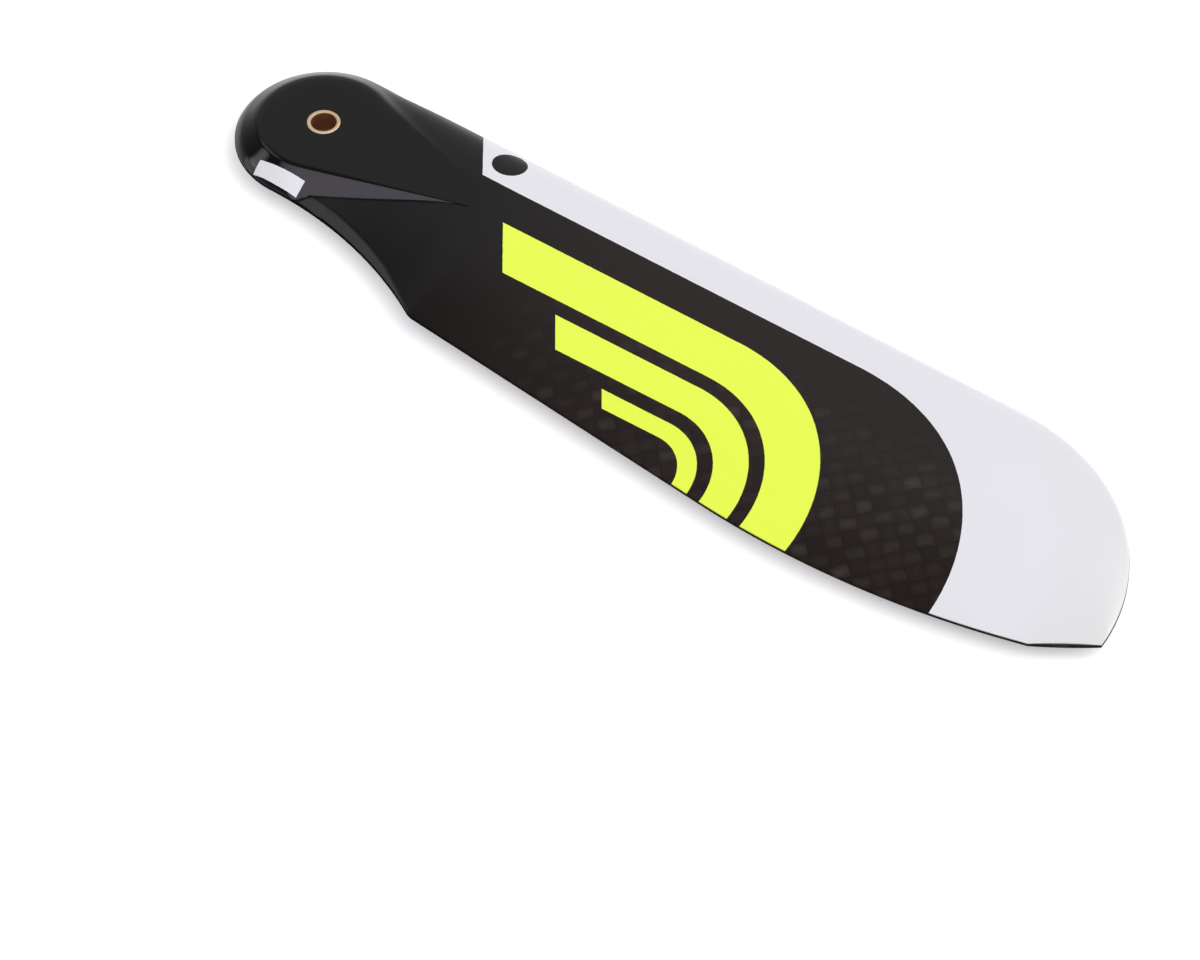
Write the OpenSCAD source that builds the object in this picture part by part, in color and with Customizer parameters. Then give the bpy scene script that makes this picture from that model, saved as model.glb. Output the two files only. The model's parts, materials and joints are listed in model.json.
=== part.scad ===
// Tail rotor blade of a model helicopter, moulded in carbon fibre with a brass root bushing
// Origin on the bolt axis at mid thickness, X to the tip, Y to the leading edge, Z along the bolt
// All sizes in mm

/* [Planform] */
// Bolt axis to the tip
blade_len = 117; // [95:0.1:150]
// Radius of the root end about the bolt axis, which also sets the leading edge line
root_r = 10.5; // [8.5:0.1:14]
// Bolt axis to the corner where the neck meets the trailing edge
neck_x = 25.3; // [20:0.1:36]
// Radius of the hollow neck curve behind the root
neck_r = 49; // [42:0.5:80]
// Radius that rounds the corner between the neck and the trailing edge
corner_r = 3; // [1:0.5:8]
// Angle at which the trailing edge leaves the neck, widening the chord
te_widen = 5.5; // [0:0.1:10]
// Bolt axis to the knee, where the trailing edge turns back
knee_x = 88.6; // [70:0.1:100]
// Angle at which the trailing edge closes in beyond the knee
te_close = 14.9; // [8:0.1:22]
// Radius that rounds the knee
knee_r = 111; // [30:0.5:115]
// Radius that turns the leading edge into the tip
tip_r = 25.8; // [15:0.1:32]
// Angle through which the leading edge turns before the tip corner
tip_turn = 85.7; // [75:0.1:90]
// Length of the slanted tip cut, measured along the blade
tip_cut = 6.7; // [3:0.1:10]

/* [Section] */
// Thickness at the root plateau and along the crest
blade_t = 5; // [3.6:0.1:7]
// Place of the crest behind the leading edge, as a part of the chord
crest = 0.38; // [0.3:0.01:0.45]
// Fullness of the nose, 2 being an ellipse
nose_full = 2; // [1.8:0.05:2.5]
// Thickness left at the trailing edge and at the mould seam
edge_t = 0.36; // [0.2:0.02:0.8]
// Thickness at the middle of the tip cut
tip_cut_t = 0.7; // [0.4:0.05:1.2]

/* [Root] */
// Distance from the root's edge to its flat plateau
bevel_w = 2.7; // [1.8:0.1:4]
// Width of the steep rim that runs round the root
rim_w = 0.8; // [0.4:0.05:1.4]
// Width over which the sloping rim of the neck would reach the crease of the root
neck_rim_w = 2.7; // [1.4:0.1:3.6]
// Thickness of the root at the crease between rim and bevel
rim_t = 2.3; // [1:0.1:3]
// Angle at which each side of the plateau closes in towards the tip
plateau_angle = 17.5; // [12:0.5:24]
// Thickness of the neck's rear edge beside the root
neck_edge_t = 1.1; // [0.6:0.1:2]
// Bolt axis to the place where the neck's rear edge starts to thin
neck_thin_x = 9; // [4:0.5:16]
// Bolt axis to the place where the flat skin behind the plateau starts to swell
swell_x = 8; // [2:0.5:12]
// Bolt axis to the place where that skin has its full section
full_x = 19; // [15:0.5:24]

/* [Bushing] */
// Outer diameter of the root bushing
bush_d = 4; // [3.4:0.1:6]
// Bore of the root bushing, for the grip bolt
bore_d = 3; // [2:0.1:4]
// Chamfer at both mouths of the bore
bore_chamfer = 0.15; // [0.05:0.05:0.25]
// Width of the glue line between the bushing and its hole
glue_gap = 0.02; // [0.01:0.01:0.1]

/* [Hidden] */
half_t = blade_t / 2;
land = edge_t / 2;
plateau_r = root_r - bevel_w;
turn_x = blade_len - tip_r;
turn_y = root_r - tip_r;
tip_x = turn_x + tip_r * sin(tip_turn);
tip_y = turn_y + tip_r * cos(tip_turn);
cut_x = tip_x - tip_cut;
corner_y = neck_y(neck_x);
knee_y = corner_y - (knee_x - neck_x) * tan(te_widen);
knee_t = knee_r * tan((te_widen + te_close) / 2);
knee_in = knee_x - knee_t * cos(te_widen);
knee_out = knee_x + knee_t * cos(te_close);
knee_cx = knee_in + knee_r * sin(te_widen);
knee_cy = knee_y + knee_t * sin(te_widen) + knee_r * cos(te_widen);
full_chord = root_r - panel_y(turn_x);
// The rim's crease, and how fast the bevel rises from it to the plateau
rim_z = rim_t / 2;
rim_bow = 0.85;
bevel_rise = (half_t - rim_z) / (bevel_w - rim_w);
// The corner's rounding touches the neck curve and the trailing edge
te_dir = [cos(te_widen), -sin(te_widen)];
te_up = [sin(te_widen), cos(te_widen)];
neck_c = [0, -root_r - neck_r];
corner_q = [neck_x, corner_y] + corner_r * te_up - neck_c;
corner_k = corner_q * te_dir;
corner_m = pow(neck_r + corner_r, 2) - corner_q * corner_q;
corner_s = sqrt(corner_k * corner_k + corner_m) - corner_k;
corner_c = neck_c + corner_q + corner_s * te_dir;
corner_in = neck_c[0] + (corner_c[0] - neck_c[0]) * neck_r / (neck_r + corner_r);
corner_out = corner_c[0] - corner_r * te_up[0];
// Steps across one half of a section: up the foot, over the skin, up the plateau's side
foot_n = 3;
skin_n = 5;
side_n = 2;
half_n = foot_n + skin_n + side_n;
row = 2 * half_n + 3;
// Stations along the neck, the panel, the tip and round the root end
neck_n = 19;
corner_n = 3;
panel_n = 13;
turn_n = 7;
end_n = 6;
round_n = 20;
bore_fn = 64;

function clamp(v) = max(0, min(1, v));
function neck_y(x) = -root_r - neck_r + sqrt(neck_r * neck_r - x * x);
function knee_arc(x) = knee_cy - sqrt(knee_r * knee_r - pow(x - knee_cx, 2));
function in_line(x) = knee_y + (knee_x - x) * tan(te_widen);
function out_line(x) = knee_y + (x - knee_x) * tan(te_close);
function panel_y(x) = x < knee_in ? in_line(x) : x > knee_out ? out_line(x) : knee_arc(x);
function corner_arc(x) = corner_c[1] - sqrt(max(0, corner_r * corner_r - pow(x - corner_c[0], 2)));
function rear_y(x) = x < corner_in ? neck_y(x) : x < corner_out ? corner_arc(x) : panel_y(x);
function cut_y(x) = rear_y(cut_x) + (tip_y - rear_y(cut_x)) * (x - cut_x) / tip_cut;
function te_y(x) = x > cut_x ? cut_y(x) : rear_y(x);
function turn_le(x) = turn_y + sqrt(max(0, tip_r * tip_r - pow(x - turn_x, 2)));
function le_y(x) = x > turn_x ? turn_le(x) : root_r;
function chord(x) = le_y(x) - te_y(x);
function crest_y(x) = le_y(x) - crest * chord(x);
function spine_y(x) = x < neck_x ? crest_y(neck_x) * x / neck_x : crest_y(x);
// Half thickness of the aerofoil at its crest and at its rear edge
function crest_z(x) = x > turn_x ? land + (half_t - land) * chord(x) / full_chord : half_t;
function neck_thin(x) = clamp((neck_x - x) / (neck_x - neck_thin_x));
function on_cut(x) = clamp((x - cut_x) / tip_cut);
function cut_lens(x) = 4 * (tip_cut_t / 2 - land) * on_cut(x) * (1 - on_cut(x));
function rear_z(x) = land + (neck_edge_t / 2 - land) * neck_thin(x) + cut_lens(x);
function nose(u) = pow(1 - pow(1 - clamp(u), nose_full), 1 / nose_full);
function full_tail(v) = 1 - 1.45 * v * v + 0.45 * v * v * v;
function tail(x, v) = mix(1 - v, full_tail(v), clamp((x - swell_x) / (full_x - swell_x)));
function front_z(x, u) = land + (crest_z(x) - land) * nose(u);
function aft_z(x, v) = rear_z(x) + (crest_z(x) - rear_z(x)) * tail(x, clamp(v));
function front_u(x, y) = (le_y(x) - y) / (crest * chord(x));
function aft_v(x, y) = (crest_y(x) - y) / ((1 - crest) * chord(x));
function wing_z(x, y) = y > crest_y(x) ? front_z(x, front_u(x, y)) : aft_z(x, aft_v(x, y));
// The root plateau: a disc drawn out to a point, with bevelled sides
function past_disc(x, y) = x * cos(plateau_angle) > abs(y) * sin(plateau_angle);
function to_side(x, y) = x * sin(plateau_angle) + abs(y) * cos(plateau_angle) - plateau_r;
function off_plateau(x, y) = past_disc(x, y) ? to_side(x, y) : norm([x, y]) - plateau_r;
function boss_z(x, y) = half_t - bevel_rise * max(0, off_plateau(x, y));
function rim_face(d) = land + (rim_z - land) * pow(max(0, d) / rim_w, rim_bow);
function edge_z(d) = d < rim_w ? rim_face(d) : rim_z + (d - rim_w) * bevel_rise;
function neck_z(x, d) = cut_lens(x) + rim_face(d * rim_w / neck_rim_w);
function te_lean(x) = x < neck_x ? sqrt(1 - pow(x / neck_r, 2)) : 1;
function inset(x, d, s) = s > 0 ? d : d * te_lean(x);
function side_y(x, d, s) = s > 0 ? le_y(x) - d : te_y(x) + d;
// Ahead, the aerofoil's nose grows out of the rim within the plateau's radius
function nose_z(x, d) = edge_z(d) + half_t * x / plateau_r;
function wing_edge(x, d, s) = s > 0 ? nose_z(x, d) : neck_z(x, inset(x, d, s));
function body_z(x, y) = max(wing_z(x, y), boss_z(x, y));
function wing_part(x, d, s) = min(wing_z(x, side_y(x, d, s)), wing_edge(x, d, s));
function boss_part(x, d, s) = min(boss_z(x, side_y(x, d, s)), edge_z(inset(x, d, s)));
function top_z(x, d, s) = max(wing_part(x, d, s), boss_part(x, d, s));

// Distances from the edge at which a half section changes its form; s is 1 ahead, -1 behind
function reach(x, s) = s > 0 ? le_y(x) - spine_y(x) : spine_y(x) - te_y(x);
function disc_y(x) = sqrt(max(0, plateau_r * plateau_r - x * x));
function cone_y(x) = (plateau_r - x * sin(plateau_angle)) / cos(plateau_angle);
function plateau_y(x) = x < plateau_r * sin(plateau_angle) ? disc_y(x) : cone_y(x);
function plateau_d(x, s) = s > 0 ? le_y(x) - plateau_y(x) : -plateau_y(x) - te_y(x);
function has_plateau(x, s) = x < neck_x && plateau_d(x, s) < 0.92 * reach(x, s);
function d_plateau(x, s) = has_plateau(x, s) ? plateau_d(x, s) : 0.92 * reach(x, s);
function skin_shows(x, s, d) = wing_z(x, side_y(x, d, s)) > boss_z(x, side_y(x, d, s));
function below_skin(x, d) = wing_edge(x, d, -1) < wing_z(x, side_y(x, d, -1));
function above_boss(x, d) = wing_edge(x, d, -1) > boss_part(x, d, -1);
function edge_shows(x, d) = below_skin(x, d) && above_boss(x, d);
function d_valley(x, s, a, b, i = 16) =
    let (m = (a + b) / 2)
    i == 0 ? m : skin_shows(x, s, m) ? d_valley(x, s, m, b, i - 1) : d_valley(x, s, a, m, i - 1);
function d_crease(x, a, b, i = 16) =
    let (m = (a + b) / 2)
    i == 0 ? m : edge_shows(x, m) ? d_crease(x, m, b, i - 1) : d_crease(x, a, m, i - 1);
function neck_foot(x, w) = let (c = d_crease(x, 0, 3 * w)) c > w / 2 && c < 2.9 * w ? c : w;
function plain_foot(x, s) = min(rim_w, 0.05 * reach(x, s));
function nose_foot(x) = skin_shows(x, 1, 1.5 * rim_w) ? plain_foot(x, 1) : rim_w;
function tail_foot(x) = x < neck_x ? neck_foot(x, rim_w / te_lean(x)) : plain_foot(x, -1);
function d_foot(x, s) = s > 0 ? nose_foot(x) : tail_foot(x);
function mix(a, b, t) = a + (b - a) * t;
function breaks(x, s) =
    let (f = d_foot(x, s), p = d_plateau(x, s))
    let (v = skin_shows(x, s, f) ? d_valley(x, s, f, p) : mix(f, p, 0.35))
    [f, has_plateau(x, s) ? v : 0.8 * reach(x, s), p];
function step_d(b, k, s) =
    k <= foot_n ? b[0] * pow(k / foot_n, 1.6)
    : k <= foot_n + skin_n ? mix(b[0], b[1], pow((k - foot_n) / skin_n, s > 0 ? 1.5 : 1))
    : mix(b[1], b[2], (k - foot_n - skin_n) / side_n);
function half_row(x, s) =
    let (b = breaks(x, s))
    [for (k = [0 : half_n]) let (d = step_d(b, k, s)) [x, side_y(x, d, s), top_z(x, d, s)]];
function spine_pt(x) = [x, spine_y(x), body_z(x, spine_y(x))];
function flip(list) = [for (i = [len(list) - 1 : -1 : 0]) list[i]];
function under(list) = [for (p = list) [p[0], p[1], -p[2]]];
function doubled(list) = concat(list, under(list));
function section(x) = doubled(concat(half_row(x, 1), [spine_pt(x)], flip(half_row(x, -1))));
root_breaks = breaks(0, 1);
function root_pt(a, d) = [(root_r - d) * cos(a), (root_r - d) * sin(a), min(half_t, edge_z(d))];
function root_row(a) = doubled([for (k = [0 : half_n]) root_pt(a, step_d(root_breaks, k, 1))]);

// Stations along the blade, then the points of the skin
cut_turn = asin((cut_x - turn_x) / tip_r);
last_turn = tip_turn - 1.6;
neck_xs = [for (i = [0 : neck_n]) corner_in * i / neck_n];
corner_xs = [for (i = [1 : corner_n]) mix(corner_in, corner_out, i / corner_n)];
panel_xs = [for (i = [1 : panel_n]) mix(corner_out, turn_x, i / panel_n)];
turn_xs = [for (i = [1 : turn_n]) turn_x + tip_r * sin(cut_turn * i / turn_n)];
end_xs = [for (i = [1 : end_n]) turn_x + tip_r * sin(mix(cut_turn, last_turn, i / end_n))];
xs = concat(neck_xs, corner_xs, panel_xs, turn_xs, end_xs);
last = len(xs) - 1;
span_pts = [for (x = xs) each section(x)];
root_pts = [for (p = [1 : round_n - 1]) each root_row(90 + 180 * p / round_n)];
tip_pts = [[tip_x, tip_y, land], [tip_x, tip_y, -land]];
root_0 = len(span_pts);
tip_0 = root_0 + len(root_pts);

// Faces: t and b number the upper and lower points, rt and rb those round the root end
function t(j, i) = 2 * row * j + i;
function b(j, i) = t(j, i) + row;
function round_no(p, k) = root_0 + 2 * (half_n + 1) * (p - 1) + k;
function rt(p, k) = p == 0 ? k : p == round_n ? row - 1 - k : round_no(p, k);
function rb(p, k) = rt(p, k) + (p == 0 || p == round_n ? row : half_n + 1);
function quad(a, b, c, d) = [[a, b, c], [a, c, d]];
span_js = [0 : last - 1];
row_is = [0 : row - 2];
round_ps = [0 : round_n - 1];
half_ks = [0 : half_n - 1];
aft = row - 1;
pole = half_n + 1;
top_faces = [for (j = span_js, i = row_is) each quad(t(j, i), t(j + 1, i), t(j + 1, i + 1), t(j, i + 1))];
low_faces = [for (j = span_js, i = row_is) each quad(b(j, i), b(j, i + 1), b(j + 1, i + 1), b(j + 1, i))];
le_wall = [for (j = span_js) each quad(t(j, 0), b(j, 0), b(j + 1, 0), t(j + 1, 0))];
te_wall = [for (j = span_js) each quad(t(j, aft), t(j + 1, aft), b(j + 1, aft), b(j, aft))];
tip_top = [for (i = row_is) [t(last, i), tip_0, t(last, i + 1)]];
tip_low = [for (i = row_is) [b(last, i + 1), tip_0 + 1, b(last, i)]];
tip_le = quad(t(last, 0), b(last, 0), tip_0 + 1, tip_0);
tip_te = quad(t(last, aft), tip_0, tip_0 + 1, b(last, aft));
root_up = [for (p = round_ps, k = half_ks) each quad(rt(p, k), rt(p, k + 1), rt(p + 1, k + 1), rt(p + 1, k))];
root_dn = [for (p = round_ps, k = half_ks) each quad(rb(p, k), rb(p + 1, k), rb(p + 1, k + 1), rb(p, k + 1))];
root_cap = [for (p = round_ps) [rt(p, half_n), pole, rt(p + 1, half_n)]];
root_pan = [for (p = round_ps) [rb(p + 1, half_n), pole + row, rb(p, half_n)]];
root_wall = [for (p = round_ps) each quad(rt(p, 0), rt(p + 1, 0), rb(p + 1, 0), rb(p, 0))];
skin_pts = concat(span_pts, root_pts, tip_pts);
span_faces = concat(top_faces, low_faces, le_wall, te_wall);
tip_faces = concat(tip_top, tip_low, tip_le, tip_te);
root_faces = concat(root_up, root_dn, root_cap, root_pan, root_wall);

module skin() {
    polyhedron(points = skin_pts, faces = concat(span_faces, tip_faces, root_faces), convexity = 6);
}

module blade() {
    color([0.06, 0.06, 0.065])
        difference() {
            skin();
            translate([0, 0, -blade_t])
                cylinder(h = 2 * blade_t, d = bush_d + 2 * glue_gap, $fn = bore_fn);
        }
}

module root_bushing() {
    color([0.78, 0.62, 0.34])
        rotate_extrude($fn = bore_fn)
            polygon([
                [bore_d / 2, -half_t + bore_chamfer],
                [bore_d / 2 + bore_chamfer, -half_t],
                [bush_d / 2, -half_t],
                [bush_d / 2, half_t],
                [bore_d / 2 + bore_chamfer, half_t],
                [bore_d / 2, half_t - bore_chamfer]
            ]);
}

blade();
root_bushing();
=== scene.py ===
"""Visual model of a tail rotor blade for a model helicopter, laid out as an add-on."""
import json
import math

import bpy
from bpy.props import FloatProperty, FloatVectorProperty, PointerProperty
from mathutils import Matrix, Vector


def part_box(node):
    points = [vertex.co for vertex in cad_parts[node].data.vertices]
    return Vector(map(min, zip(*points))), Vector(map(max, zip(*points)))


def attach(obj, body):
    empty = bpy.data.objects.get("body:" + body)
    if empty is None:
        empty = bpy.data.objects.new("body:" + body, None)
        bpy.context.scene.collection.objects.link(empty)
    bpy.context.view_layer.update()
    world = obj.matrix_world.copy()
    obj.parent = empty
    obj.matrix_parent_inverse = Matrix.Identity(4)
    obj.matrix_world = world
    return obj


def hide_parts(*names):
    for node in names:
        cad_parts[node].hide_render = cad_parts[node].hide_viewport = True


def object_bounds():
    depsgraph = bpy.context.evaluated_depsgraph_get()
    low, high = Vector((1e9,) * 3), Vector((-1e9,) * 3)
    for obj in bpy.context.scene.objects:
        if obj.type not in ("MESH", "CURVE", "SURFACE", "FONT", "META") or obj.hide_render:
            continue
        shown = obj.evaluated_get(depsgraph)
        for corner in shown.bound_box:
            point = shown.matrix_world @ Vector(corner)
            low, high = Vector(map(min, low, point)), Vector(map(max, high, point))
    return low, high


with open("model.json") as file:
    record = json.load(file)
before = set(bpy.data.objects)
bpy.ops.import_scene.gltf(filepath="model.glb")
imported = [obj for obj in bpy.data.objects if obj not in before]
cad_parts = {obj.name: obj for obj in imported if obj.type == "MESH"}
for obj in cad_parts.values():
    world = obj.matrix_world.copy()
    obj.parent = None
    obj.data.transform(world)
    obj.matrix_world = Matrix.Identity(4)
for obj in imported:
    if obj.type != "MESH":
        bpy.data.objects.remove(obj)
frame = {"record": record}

bl_info = {
    "name": "Tail rotor blade",
    "version": (1, 0, 0),
    "blender": (4, 5, 0),
    "location": "3D View > Sidebar > Rotor blade",
    "description": "Makes a model helicopter's tail rotor blade: skin, bushing, label and studio",
    "category": "Object",
}

CAD_LOW, CAD_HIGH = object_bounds()
BLADE_LOW, BLADE_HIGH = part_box("blade")
SLEEVE_LOW, SLEEVE_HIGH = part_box("root_bushing")
BODY = "root"


def mm(value):
    """Millimetres as the metres that the scene is in."""
    return value / 1000


MOUNTS = {mount["name"]: mount for mount in frame["record"]["mounts"]}
BORE_R = mm(MOUNTS["bolt_bore"]["dims"]["r_mm"])
BUSHING_GAP = mm(0.02)


def length(name, description, default):
    """A length property, with its default in metres."""
    return FloatProperty(
        name=name, description=description, default=default, unit="LENGTH", precision=5)


def angle(name, description, degrees):
    """An angle property, with its default in degrees."""
    return FloatProperty(
        name=name, description=description, default=math.radians(degrees), subtype="ANGLE")


def share(name, description, default):
    """A property without a unit."""
    return FloatProperty(name=name, description=description, default=default)


def colour(name, description, default):
    """A colour property."""
    return FloatVectorProperty(
        name=name, description=description, default=default, subtype="COLOR", size=3, min=0, max=1)


class BladeSizes(bpy.types.PropertyGroup):
    """Sizes of the moulded blade."""

    blade_len: length("Blade length", "Bolt axis to the tip", mm(117))
    root_r: length("Root radius", "Radius of the root end about the bolt axis", -BLADE_LOW.x)
    neck_x: length("Neck length", "Bolt axis to the corner of neck and trailing edge", mm(25.3))
    neck_r: length("Neck radius", "Radius of the hollow neck curve", mm(49))
    corner_r: length("Corner radius", "Rounding between neck and trailing edge", mm(3))
    te_widen: angle("Widening", "Angle at which the trailing edge leaves the neck", 5.5)
    knee_x: length("Knee place", "Bolt axis to the knee of the trailing edge", mm(88.6))
    te_close: angle("Closing", "Angle at which the trailing edge closes in beyond the knee", 14.9)
    knee_r: length("Knee radius", "Rounding of the knee", mm(111))
    tip_r: length("Tip radius", "Radius that turns the leading edge into the tip", mm(25.8))
    tip_turn: angle("Tip turn", "Angle of the leading edge's turn at the tip", 85.7)
    tip_cut: length("Tip cut", "Length of the slanted tip cut along the blade", mm(6.7))
    cut_t: length("Tip cut thickness", "Thickness at the middle of the tip cut", mm(0.7))
    blade_t: length(
        "Thickness", "Thickness at the plateau and along the crest", BLADE_HIGH.z - BLADE_LOW.z)
    crest: share(
        "Crest", "Place of the crest behind the leading edge, as a part of the chord", 0.38)
    edge_t: length("Edge thickness", "Thickness left at the trailing edge and the seam", mm(0.36))
    bevel_w: length("Bevel width", "Root's edge to its flat plateau", mm(2.7))
    rim_w: length("Rim width", "Width of the steep rim round the root", mm(0.8))
    neck_rim_w: length(
        "Neck rim width", "Width over which the neck's rim would reach the root's crease", mm(2.7))
    rim_t: length("Rim thickness", "Thickness at the crease of rim and bevel", mm(2.3))
    plateau_angle: angle(
        "Plateau angle", "Angle at which each side of the plateau closes in", 17.5)
    neck_edge_t: length("Neck edge", "Thickness of the neck's rear edge beside the root", mm(1.1))
    neck_thin_x: length(
        "Neck thinning", "Bolt axis to where the neck's rear edge starts to thin", mm(9))
    swell_x: length(
        "Swell start", "Bolt axis to where the flat skin behind the plateau swells", mm(8))
    full_x: length("Full section", "Bolt axis to where that skin has its full section", mm(19))
    crease_r: length("Crease softness", "Width over which a crease is rounded", mm(0.16))
    neck_crease_r: length(
        "Neck crease softness", "The same for the crease along the neck", mm(0.05))
    far_crease_r: length(
        "Far crease softness", "The same for the plateau's edge on the leading side", mm(0.8))
    far_rim_r: length("Far rim softness", "The same for the rim on the leading side", mm(0.3))
    hollow_r: length(
        "Hollow softness", "Width over which the hollow ahead of the plateau is rounded", mm(0.9))
    hole_r: length(
        "Bushing hole", "Radius of the hole that holds the bushing", SLEEVE_HIGH.x + BUSHING_GAP)


class PaintSettings(bpy.types.PropertyGroup):
    """Places and colours of the paint on the upper side."""

    edge_y: length("Stripe edge", "Inner edge of the white stripe, at the round end", mm(4.2))
    edge_slope: share("Stripe slope", "Rise of the stripe's inner edge along the blade", 0.0058)
    round_x: length(
        "Round end", "Bolt axis to the centre of the black field's round end", mm(73.06))
    round_r: length("Round radius", "Radius of the black field's round end", mm(25.85))
    band_x: length("Band turn", "Bolt axis to the centre on which the neon bands turn", mm(60))
    lean: share("Lean", "Sideways run of a slanted end for each unit across the blade", 0.716)
    stripe_from: length(
        "Stripe start", "Place of the stripe's slanted root end on the axis", mm(23.0))
    dot_x: length("Dot place", "Bolt axis to the round mark on the stripe", mm(21.5))
    dot_y: length("Dot offset", "Distance of the round mark ahead of the axis", mm(7.48))
    dot_r: length("Dot radius", "Radius of the round mark", mm(2.1))
    paint_z: length("Paint limit", "Height above the seam at which the paint ends", mm(0.19))
    white: colour("White", "Colour of the stripe and tip", (0.79, 0.785, 0.825))
    # Painted shade: the white darkens towards the tip's rim, against the light its turned rim
    # catches
    rim_shade_white: colour(
        "Rim shade white", "Colour of the white paint at the tip's rim", (0.69, 0.695, 0.69))
    rim_shade_width: length(
        "Rim shade width", "Width over which the white paint dulls to the tip's rim", mm(10))
    neon: colour("Neon", "Colour of the bands", (0.83, 1.0, 0.09))
    black: colour("Black", "Colour of the bare moulding at the root", (0.0044, 0.0036, 0.0038))
    carbon: colour(
        "Carbon", "Colour of the dark tows under the clear coat", (0.0125, 0.0086, 0.0076))
    # Painted sheen: colours of tows that catch the light
    tow: colour("Tow", "Colour of a carbon tow that catches the light", (0.066, 0.051, 0.046))
    olive: colour("Olive tow", "Colour of the more olive of such tows", (0.055, 0.050, 0.041))
    tow_w: length("Tow width", "Width of one carbon tow", mm(2))


class FittingSizes(bpy.types.PropertyGroup):
    """Sizes and colours of the bushing and the label."""

    bore_r: length("Bore", "Radius of the bushing's bore", BORE_R)
    rim_r: length("Bushing edge", "Rounding of the bushing's edges", mm(0.12))
    brass: colour("Brass", "Colour of the bushing", (1.0, 0.80, 0.52))
    # Painted shade: a darker colour for the bore, where the hole lies in shade
    bore_shade: colour("Bore shade", "Colour of the bushing's darkened bore", (0.46, 0.24, 0.13))
    label_x: length("Label place", "Middle of the label along the blade", mm(0.45))
    label_y: length("Label offset", "Middle of the label across the blade", mm(-9.31))
    label_l: length("Label length", "Length of the label", mm(6.3))
    label_w: length("Label width", "Width of the label, as seen from above", mm(1.62))
    label_flare: share(
        "Label flare", "Growth of the label's width from end to end, as a part of it", 0.24)
    label_turn: angle("Label turn", "Turn of the label about the bolt axis", 0.4)
    label_t: length("Label thickness", "Thickness of the label", mm(0.06))
    paper: colour("Paper", "Colour of the label", (0.80, 0.79, 0.83))


class StageSettings(bpy.types.PropertyGroup):
    """Floor and light of the studio."""

    floor: colour("Floor", "Colour of the floor", (0.98, 0.98, 0.98))
    sky: colour("Room", "Colour of the room's light", (1.0, 1.0, 1.0))
    light: share("Light", "Factor on all the light", 1.0)
    wash: share("Wash", "Light that only the camera sees on the floor", 0.34)


def math_rule(tree, operation, *values):
    """A rule that one math node makes of rules and plain numbers."""
    node = tree.nodes.new("ShaderNodeMath")
    node.operation = operation
    for socket, value in zip(node.inputs, values):
        plug(tree, socket, value)
    return Rule(tree, node.outputs[0])


def math_method(operation):
    """A method that joins a rule and what it is given by one math node."""
    def method(rule, *others):
        return math_rule(rule.tree, operation, rule, *others)
    return method


class Rule:
    """A number that varies over the points of a node tree, with the usual arithmetic."""

    def __init__(self, tree, socket):
        self.tree = tree
        self.socket = socket

    def __rsub__(self, first):
        return math_rule(self.tree, "SUBTRACT", first, self)

    def __neg__(self):
        return self * -1.0

    def unit(self):
        node = self.tree.nodes.new("ShaderNodeClamp")
        plug(self.tree, node.inputs[0], self)
        return Rule(self.tree, node.outputs[0])

    def ease(self):
        held = self.unit()
        return held * held * (3 - 2 * held)

    __add__ = __radd__ = math_method("ADD")
    __sub__ = math_method("SUBTRACT")
    __mul__ = __rmul__ = math_method("MULTIPLY")
    __truediv__ = math_method("DIVIDE")
    __pow__ = math_method("POWER")
    __gt__ = math_method("GREATER_THAN")
    __lt__ = math_method("LESS_THAN")
    above = math_method("MAXIMUM")
    below = math_method("MINIMUM")
    soft_above = math_method("SMOOTH_MAX")
    soft_below = math_method("SMOOTH_MIN")
    sin = math_method("SINE")
    cos = math_method("COSINE")
    tan = math_method("TANGENT")
    asin = math_method("ARCSINE")
    sqrt = math_method("SQRT")
    abs = math_method("ABSOLUTE")
    floor = math_method("FLOOR")
    fract = math_method("FRACT")


def plug(tree, socket, value):
    """Links a socket to a rule or a socket, or sets it to a plain value."""
    if isinstance(value, Rule):
        tree.links.new(value.socket, socket)
    elif isinstance(value, bpy.types.NodeSocket):
        tree.links.new(value, socket)
    else:
        socket.default_value = value


def add(tree, kind, settings=None, **inputs):
    """A new node, with its settings and its inputs by name."""
    node = tree.nodes.new(kind)
    for key, value in (settings or {}).items():
        setattr(node, key, value)
    for key, value in inputs.items():
        plug(tree, node.inputs[key.replace("_", " ")], value)
    return node


def pick(test, yes, no):
    """One of two rules, by a test that is 1 or 0."""
    node = test.tree.nodes.new("ShaderNodeMix")
    for socket, value in zip((node.inputs[0], node.inputs[2], node.inputs[3]), (test, no, yes)):
        plug(test.tree, socket, value)
    return Rule(test.tree, node.outputs[0])


def gathered(at, amount):
    """Even steps from 0 to 1, drawn towards both ends by an amount."""
    return at * (1 - amount) + at.ease() * amount


def hypot(a, b):
    """Distance from the origin of a point in a plane."""
    return (a * a + b * b).sqrt()


class Named:
    """Rules of one node tree, by name."""


def size_inputs(tree, group):
    """Gives a geometry tree one named input for each size of a property group, as rules."""
    sizes = [
        prop for prop in group.bl_rna.properties if prop.type == "FLOAT" and not prop.is_array]
    for prop in sizes:
        tree.interface.new_socket(prop.name, in_out="INPUT", socket_type="NodeSocketFloat")
    entry = add(tree, "NodeGroupInput")
    size = Named()
    for prop in sizes:
        setattr(size, prop.identifier, Rule(tree, entry.outputs[prop.name]))
    return size


def new_geometry(name):
    """An empty geometry tree with its output."""
    tree = bpy.data.node_groups.new(name, "GeometryNodeTree")
    tree.interface.new_socket("Mesh", in_out="OUTPUT", socket_type="NodeSocketGeometry")
    return tree


def close_tree(tree, mesh, material):
    """Ends a geometry tree in plain geometry with its material."""
    solid = add(tree, "GeometryNodeRealizeInstances", Geometry=mesh)
    painted = add(tree, "GeometryNodeSetMaterial", Geometry=solid.outputs[0], Material=material)
    add(tree, "NodeGroupOutput", Mesh=painted.outputs[0])


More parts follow.
